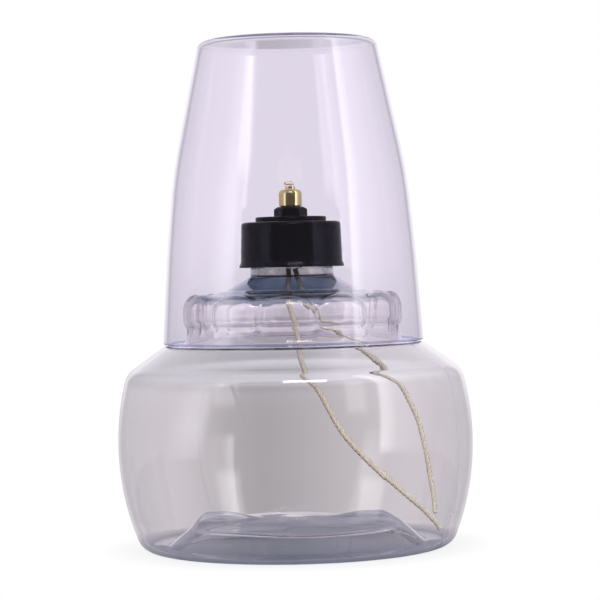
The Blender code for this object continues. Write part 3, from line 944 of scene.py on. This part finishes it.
def make_cord(name, node, side, way, slub, seed, material):
    """A twisted cord with loose fibres and a frayed tip above the nozzle.

    slub is the place of its one lump, as a share of its length.
    """
    rng = random.Random(seed)
    tip = up_mm(CORD_HIGH[2])
    x = side * CORD_OFFSET
    straight = [(x, 0, z) for z in (tip, *TUBE_POINTS, SQUEEZED_TO)]
    parting = (x * CORD_PARTING, 0, SWOLLEN_AT)
    line = through([*straight, parting, *way], CORD_STEP)
    frames = frames_along(line)
    yarn = Yarn()
    add_plies(yarn, line, frames, slub, seed)
    add_loose_hairs(yarn, line, frames, rng)
    add_tip_hairs(yarn, Vector((x, 0, tip - 0.3)), rng)
    cord = new_mesh_object(name, yarn.vertices, yarn.faces)
    cord.data.shade_smooth()
    attribute = cord.data.attributes.new("fibre", "FLOAT_VECTOR", "POINT")
    attribute.data.foreach_set("vector", [c for place in yarn.fibres for c in place])
    install(cord, material, node, "wick")


# The studio

LAMP_COLOUR = (1.0, 0.985, 1.0)
WALL_COLOUR, SIDE_COLOUR = (0.93, 0.90, 0.96), (0.50, 0.475, 0.53)
FOOT_COLOUR, DIM_FOOT_COLOUR = (0.67, 0.645, 0.67), (0.47, 0.455, 0.47)
FRONT_COLOUR, CEILING_COLOUR = (0.085, 0.08, 0.085), (0.38, 0.38, 0.45)

# Each low lamp has a window of azimuths and one of heights, in degrees
LEFT_LAMP = ((-56.0, -34.0, 8.0, 6.0), (-34.0, -8.0, 6.0, 6.0))
RIGHT_LAMP = ((40.0, 63.0, 6.0, 6.0), (-34.0, -12.0, 6.0, 6.0))
LOW_LAMP_STRENGTH = 1.6


def room_colour(tree, x, azimuth, height):
    """A bright wall behind with a dimmer foot, greyer sides, a dark front and a grey ceiling.

    The angles are in degrees. Azimuth 0 is the camera's side, and height 0 is level.
    """
    middle = window(tree, x, -0.085, 0.045, 0.07, 0.07)
    foot = mix_colour(tree, middle, FOOT_COLOUR, DIM_FOOT_COLOUR)
    wall = mix_colour(tree, soft_step(tree, height, -4.0, 1.5), foot, WALL_COLOUR)
    aside = soft_step(tree, math_node(tree, "ABSOLUTE", azimuth), 165.0, 150.0)
    wall = mix_colour(tree, aside, wall, SIDE_COLOUR)
    in_front = window(tree, azimuth, -75.0, 85.0, 30.0, 40.0)
    around = mix_colour(tree, in_front, wall, FRONT_COLOUR)
    return mix_colour(tree, soft_step(tree, height, 38.0, 63.0), around, CEILING_COLOUR)


def make_world():
    """The room that the burner mirrors, with two low lamps left and right of the camera.

    The camera itself sees plain white, and everything else sees the room.
    """
    world = bpy.data.worlds.new("studio")
    bpy.context.scene.world = world
    world.use_nodes = True
    tree = world.node_tree
    tree.nodes.clear()
    x, y, z = parts_of(tree, add(tree, "ShaderNodeTexCoord").outputs["Generated"])
    azimuth = math_node(tree, "ARCTAN2", x, math_node(tree, "MULTIPLY", y, -1.0))
    azimuth = math_node(tree, "MULTIPLY", azimuth, 1 / DEGREE)
    height = math_node(tree, "MULTIPLY", math_node(tree, "ARCSINE", z), 1 / DEGREE)
    lamps = []
    for across, up in (LEFT_LAMP, RIGHT_LAMP):
        shape = math_node(
            tree, "MULTIPLY", window(tree, azimuth, *across), window(tree, height, *up)
        )
        lamps.append(math_node(tree, "MULTIPLY", shape, LOW_LAMP_STRENGTH))
    lit = add(tree, "ShaderNodeVectorMath", operation="MULTIPLY_ADD")
    lit.inputs[0].default_value = LAMP_COLOUR
    tree.links.new(math_node(tree, "ADD", *lamps), lit.inputs[1])
    tree.links.new(room_colour(tree, x, azimuth, height), lit.inputs[2])
    room = coloured(tree, "ShaderNodeBackground", lit.outputs[0])
    white = coloured(tree, "ShaderNodeBackground", (1, 1, 1))
    seen = mix_shaders(tree, ray_is(tree, "Camera"), room, white)
    out = add(tree, "ShaderNodeOutputWorld")
    tree.links.new(seen.outputs[0], out.inputs["Surface"])


def stage_sheet(name, corners, material):
    """A flat sheet that shows in the burner's walls, but not to the camera. corners are in mm."""
    sheet = new_mesh_object(name, [Vector(corner) * MM for corner in corners], [(0, 1, 2, 3)])
    dress(sheet, material)
    sheet.visible_camera = False


def make_panel(name, side, strength_of):
    """An upright diffusing panel beside the burner, which lights it and shows in its walls.

    strength_of(tree, y, z) gives the light at a place on the panel, in mm.
    """
    x, low, high, near, far = side * 120, 12, 300, -190, 20
    material, tree = node_material(name)
    place = parts_of(tree, add(tree, "ShaderNodeNewGeometry").outputs["Position"])
    y = math_node(tree, "DIVIDE", place[1], MM)
    z = math_node(tree, "DIVIDE", place[2], MM)
    glow = coloured(tree, "ShaderNodeEmission", LAMP_COLOUR, Strength=strength_of(tree, y, z))
    clear = add(tree, "ShaderNodeBsdfTransparent")
    both = add(tree, "ShaderNodeAddShader")
    tree.links.new(glow.outputs[0], both.inputs[0])
    tree.links.new(clear.outputs[0], both.inputs[1])
    set_surface(tree, both)
    stage_sheet(name, [(x, near, low), (x, far, low), (x, far, high), (x, near, high)], material)


def left_panel_light(tree, y, z):
    """One broad soft band that leans forward and weakens as it rises."""
    slanted = math_node(tree, "ADD", y, math_node(tree, "MULTIPLY", z, 0.25))
    across = window(tree, slanted, -95.0, -10.0, 25.0, 55.0)
    light = math_node(tree, "MULTIPLY", across, soft_step(tree, z, -5.0, 45.0))
    fade = math_node(tree, "SUBTRACT", 1.75, math_node(tree, "MULTIPLY", z, 0.005))
    return math_node(tree, "MULTIPLY", light, math_node(tree, "MAXIMUM", fade, 0.4))


def right_panel_light(tree, y, z):
    """A bright strip at the front of a broad soft band, leaning back as they rise."""
    slanted = math_node(tree, "SUBTRACT", y, math_node(tree, "MULTIPLY", z, 0.2))
    strip = window(tree, slanted, -115.0, -72.0, 10.0, 30.0)
    strip = math_node(tree, "MULTIPLY", strip, 1.6)
    wide = window(tree, slanted, -115.0, -5.0, 10.0, 90.0)
    light = math_node(tree, "ADD", strip, wide)
    return math_node(tree, "MULTIPLY", light, soft_step(tree, z, 8.0, 22.0))


def incoming_height(tree):
    """How much the way back to the ray's source points up: 1 is straight up, -1 down."""
    return parts_of(tree, add(tree, "ShaderNodeNewGeometry").outputs["Incoming"])[2]


def make_top_card():
    """A small bright card above the burner, for the highlights on the shoulder and collar.

    A grid keeps its light steep, so the cover's walls don't show it.
    """
    left, right, near, far, height = -20, 62, -150, -115, 190
    material, tree = node_material("top_card")
    steep = math_node(tree, "ABSOLUTE", incoming_height(tree))
    strength = math_node(tree, "MULTIPLY", soft_step(tree, steep, 0.62, 0.68), 14.0)
    set_surface(tree, coloured(tree, "ShaderNodeEmission", LAMP_COLOUR, Strength=strength))
    corners = [(left, near), (right, near), (right, far), (left, far)]
    stage_sheet("top_card", [(x, y, height) for x, y in corners], material)


def make_low_board():
    """A low grey board behind the bottle, which light passes through dimmed.

    Only rays on their way up meet it, so it shows in the top of the push-up and nowhere else.
    """
    half_width, y, low, high = 60, 46, 6.5, 30
    material, tree = node_material("low_board")
    rising = soft_step(tree, incoming_height(tree), 0.0, -0.02)
    colour = mix_colour(tree, rising, (1, 1, 1), (0.42, 0.44, 0.49))
    set_surface(tree, coloured(tree, "ShaderNodeBsdfTransparent", colour))
    corners = [(-half_width, low), (half_width, low), (half_width, high), (-half_width, high)]
    stage_sheet("low_board", [(x, y, z) for x, z in corners], material)


def looking_at(stand, aim):
    """The placing of a camera or light at stand, turned to aim. Both are in mm."""
    stand, aim = Vector(stand) * MM, Vector(aim) * MM
    turn = (aim - stand).to_track_quat("-Z", "Y").to_matrix().to_4x4()
    return Matrix.Translation(stand) @ turn


def make_fill_light():
    """A soft light on the camera's side that only matt surfaces answer to."""
    light = bpy.data.lights.new("front_fill", "AREA")
    light.shape = "DISK"
    light.size = 0.4
    light.energy = 5.5
    light.color = (1.0, 0.98, 0.95)
    holder = bpy.data.objects.new("front_fill", light)
    bpy.context.scene.collection.objects.link(holder)
    holder.matrix_world = looking_at((60, -500, 300), (0, 0, 40))
    holder.visible_glossy = False
    holder.visible_transmission = False
    holder.visible_camera = False


def make_floor():
    """A plain pale floor. Seen straight on it is white, with a faint shade at the contact.

    To every other ray it is clear, except for a dark patch of painted shadow at the contact.
    """
    half, drop_mm, shade_reach_mm = 6, 0.02, 9
    floor = new_mesh_object(
        "studio_floor",
        [(-half, -half, 0), (half, -half, 0), (half, half, 0), (-half, half, 0)],
        [(0, 1, 2, 3)],
    )
    floor.location.z = BOTTLE_LOW[2] - drop_mm * MM
    material, tree = node_material("pale_floor")
    shade = add(tree, "ShaderNodeAmbientOcclusion")
    shade.samples = 8
    shade.inputs["Distance"].default_value = shade_reach_mm * MM
    openness = shade.outputs["AO"]
    # Painted shade: the white greys where the burner closes the floor in
    seen = mix_colour(tree, openness, (0.86, 0.86, 0.88), (1, 1, 1))
    white = coloured(tree, "ShaderNodeEmission", seen)
    # Painted shadow under the burner, for rays that reach the floor through it
    painted_contact_shadow = coloured(tree, "ShaderNodeEmission", (0.15, 0.165, 0.225))
    clear = add(tree, "ShaderNodeBsdfTransparent")
    grey = mix_shaders(tree, openness, painted_contact_shadow, clear)
    set_surface(tree, mix_shaders(tree, ray_is(tree, "Camera"), grey, white))
    dress(floor, material)


def make_camera():
    """The camera stands half a metre off at the height of the cap, leaning a little."""
    distance, eye = 518.5, 64.3
    aim_x, aim_z, roll = 1.7, 55.7, -1.25 * DEGREE
    camera = bpy.data.cameras.new("camera")
    camera.sensor_width = 36.0
    camera.lens = 137.4
    camera.clip_start = 0.01
    holder = bpy.data.objects.new("camera", camera)
    bpy.context.scene.collection.objects.link(holder)
    placing = looking_at((aim_x, -distance, eye), (aim_x, 0, aim_z))
    holder.matrix_world = placing @ Matrix.Rotation(roll, 4, "Z")
    bpy.context.scene.camera = holder


def set_light_paths():
    """Enough bounces for light to cross both clear walls of the cover and of the bottle."""
    scene = bpy.context.scene
    scene.view_settings.view_transform = "Standard"
    scene.cycles.max_bounces = 64
    scene.cycles.transmission_bounces = 64
    scene.cycles.glossy_bounces = 64
    scene.cycles.diffuse_bounces = 3
    scene.cycles.transparent_max_bounces = 64
    scene.cycles.caustics_refractive = False
    scene.cycles.caustics_reflective = False


def make_clear_pieces():
    bottle_zones = (
        (CONE_PAINTED_SHADE, cone_painted_shade_share),
        (NECK_PAINTED_SHADE, neck_painted_shade_share),
        (SHOULDER_PAINTED_SHADE, shoulder_painted_shade_share),
        (PUSH_UP_PAINTED_SHADE, push_up_painted_shade_share),
    )
    cover_zones = ((RIM_PAINTED_LIGHT, rim_painted_light_share),)
    make_bottle(clear_material("clear_bottle", BOTTLE_TINT, BOTTLE_RIPPLE, zones=bottle_zones))
    make_cover(
        clear_material("clear_cover", COVER_TINT, COVER_RIPPLE, COVER_ABSORB, cover_zones)
    )


def make_head():
    """The cap with all that is clamped to it, and the gasket under it."""
    black = solid_material(
        "black_plastic", (0.001, 0.001, 0.002), 0.25, grain=0.07, shine=0.2,
        shine_tint=(0.80, 0.77, 1.0),
    )
    brass = solid_material(
        "polished_brass", (0.98, 0.83, 0.42), 0.17, 1.0, grain=0.05, stretch=(1, 1, 8)
    )
    plain_brass = solid_material("machined_brass", (0.76, 0.57, 0.25), 0.28, 1.0)
    rubber = solid_material("gasket_rubber", (0.03, 0.03, 0.032), 0.75, grain=0.3)
    make_cap(black)
    make_disc(black)
    make_nut(black)
    make_tube(brass)
    dress(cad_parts["under_washer"], plain_brass)
    dress(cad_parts["under_nut"], plain_brass)
    dress(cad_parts["rim_gasket"], rubber)


def make_wick():
    cotton = cotton_material()
    make_cord("wick_yarn_front", "wick_cord_front", -1, FRONT_WAY, 0.80, 3, cotton)
    make_cord("wick_yarn_rear", "wick_cord_rear", 1, REAR_WAY, 0.55, 5, cotton)


def make_studio():
    make_world()
    make_panel("left_panel", -1, left_panel_light)
    make_panel("right_panel", 1, right_panel_light)
    make_top_card()
    make_low_board()
    make_fill_light()
    make_floor()
    make_camera()
    set_light_paths()


make_clear_pieces()
make_head()
make_wick()
make_studio()
bpy.context.view_layer.update()
